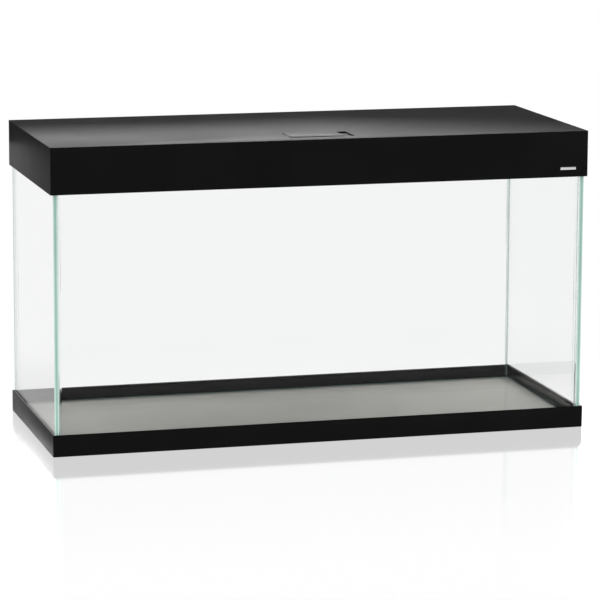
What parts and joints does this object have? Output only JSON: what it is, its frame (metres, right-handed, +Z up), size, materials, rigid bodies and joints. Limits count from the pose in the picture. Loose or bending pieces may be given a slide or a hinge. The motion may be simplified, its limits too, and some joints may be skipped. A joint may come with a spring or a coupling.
{
  "type": "glass aquarium tank",
  "caption": "Rectangular framed glass aquarium tank with a lift-off box hood, a hinged feeding flap and turnable tube lamps under the roof.",
  "frame": {"origin": "middle of the base, on the face that the tank stands on", "axes": "+X along the tank's length to its right end, -Y to the front, +Z up"},
  "size_m": [1.01, 0.41, 0.5608],
  "materials": {
    "frame_plastic": "satin, fine grain",
    "hood_plastic": "satin, fine grain",
    "flap_plastic": "satin, fine grain",
    "foam": "closed-cell foam, matt",
    "glass": "polished",
    "silicone": "clear silicone, glossy",
    "black_sealant": "silicone, glossy",
    "badge_metal": "satin",
    "clip_plastic": "moulded",
    "screw_steel": "plated",
    "lamp_tube": "clear polycarbonate",
    "lamp_cap": "moulded",
    "gland_rubber": "matt",
    "carrier_aluminium": "extruded, satin",
    "board_white": "white solder mask",
    "led_phosphor": "yellow phosphor"
  },
  "bodies": {
    "tank": {"bottom_frame": "frame_plastic", "base_mat": "foam", "bottom_pane": "glass", "front_pane": "glass", "rear_pane": "glass", "left_pane": "glass", "right_pane": "glass", "front_brace": "glass", "rear_brace": "glass", "centre_brace": "glass", "seal_front_left": "silicone", "seal_front_right": "silicone", "seal_rear_left": "silicone", "seal_rear_right": "silicone", "base_seal": "silicone", "brace_seals": "silicone", "frame_sealant": "black_sealant"},
    "hood": {"hood_shell": "hood_plastic", "badge": "badge_metal", "lamp_clips": "clip_plastic", "clip_screws": "screw_steel"},
    "flap": {"feeding_flap": "flap_plastic"},
    "front_lamp": {"front_lamp_tube": "lamp_tube", "front_lamp_cap_left": "lamp_cap", "front_lamp_cap_right": "lamp_cap", "front_lamp_gland": "gland_rubber", "front_lamp_carrier": "carrier_aluminium", "front_lamp_board": "board_white", "front_lamp_leds": "led_phosphor"},
    "rear_lamp": {"rear_lamp_tube": "lamp_tube", "rear_lamp_cap_left": "lamp_cap", "rear_lamp_cap_right": "lamp_cap", "rear_lamp_gland": "gland_rubber", "rear_lamp_carrier": "carrier_aluminium", "rear_lamp_board": "board_white", "rear_lamp_leds": "led_phosphor"}
  },
  "joints": [
    {"name": "hood_lift", "type": "slide", "parent": "tank", "child": "hood", "axis": [0, 0, 1], "range_m": [0, 0.15]},
    {"name": "flap_hinge", "type": "hinge", "parent": "hood", "child": "flap", "pos_m": [-0.051, -0.139, 0.5578], "axis": [0, -1, 0], "range_deg": [0, 100]},
    {"name": "front_lamp_turn", "type": "hinge", "parent": "hood", "child": "front_lamp", "pos_m": [0, -0.05, 0.534], "axis": [1, 0, 0], "range_deg": [-45, 45]},
    {"name": "rear_lamp_turn", "type": "hinge", "parent": "hood", "child": "rear_lamp", "pos_m": [0, 0.07, 0.534], "axis": [1, 0, 0], "range_deg": [-45, 45]}
  ]
}
